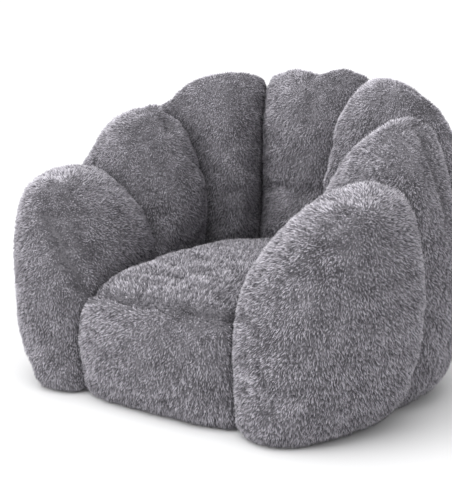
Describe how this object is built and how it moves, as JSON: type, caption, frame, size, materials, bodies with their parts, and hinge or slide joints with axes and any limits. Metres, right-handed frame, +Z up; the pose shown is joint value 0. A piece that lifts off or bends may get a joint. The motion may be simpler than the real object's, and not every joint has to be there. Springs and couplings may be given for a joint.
{
  "type": "bean bag chair",
  "caption": "Plush bean bag lounge chair with a horseshoe of puffed upright petals, forming arms and back, round a domed seat, with a zipped, foam-filled cover on a flat base.",
  "frame": {"origin": "centre of the chair's bounding box in plan, on the floor under the base panel", "axes": "the chair faces -Y, +X is to its right as seen by someone looking at its front, +Z up"},
  "size_m": [1.0756, 0.9077, 0.7548],
  "materials": {
    "plush": "short mid-grey faux fur with a streaky nap, lighter at its tips",
    "liner_bag": "plain off-white liner cloth",
    "base_cloth": "dark woven base cloth with non-slip dots",
    "zip_tape": "dark grey woven zip tape",
    "zip_nylon": "dark grey nylon coil",
    "zip_metal": "dull plated metal",
    "label": "white satin label, blank"
  },
  "bodies": {
    "chair": {"left_arm_cover": "plush", "left_side_cover": "plush", "back_left_cover": "plush", "back_centre_cover": "plush", "back_right_cover": "plush", "right_side_cover": "plush", "right_arm_cover": "plush", "seat_cover": "plush", "front_panel_cover": "plush", "left_arm_fill": "liner_bag", "left_side_fill": "liner_bag", "back_left_fill": "liner_bag", "back_centre_fill": "liner_bag", "back_right_fill": "liner_bag", "right_side_fill": "liner_bag", "right_arm_fill": "liner_bag", "seat_fill": "liner_bag", "base_panel": "base_cloth", "zip_tape_upper": "zip_tape", "zip_tape_lower": "zip_tape", "zip_teeth_upper": "zip_nylon", "zip_teeth_lower": "zip_nylon", "zip_stop_left": "zip_metal", "zip_stop_right": "zip_metal", "care_label": "label"},
    "zip_slider": {"zip_slider": "zip_metal"},
    "zip_pull": {"zip_pull": "zip_metal"}
  },
  "joints": [
    {"name": "zip_slide", "type": "slide", "parent": "chair", "child": "zip_slider", "axis": [1, 0, 0], "range_m": [0, 0.21]},
    {"name": "pull_flip", "type": "hinge", "parent": "zip_slider", "child": "zip_pull", "pos_m": [-0.106, 0.4186, 0.122], "axis": [0, 0, 1], "range_deg": [0, 170]}
  ]
}
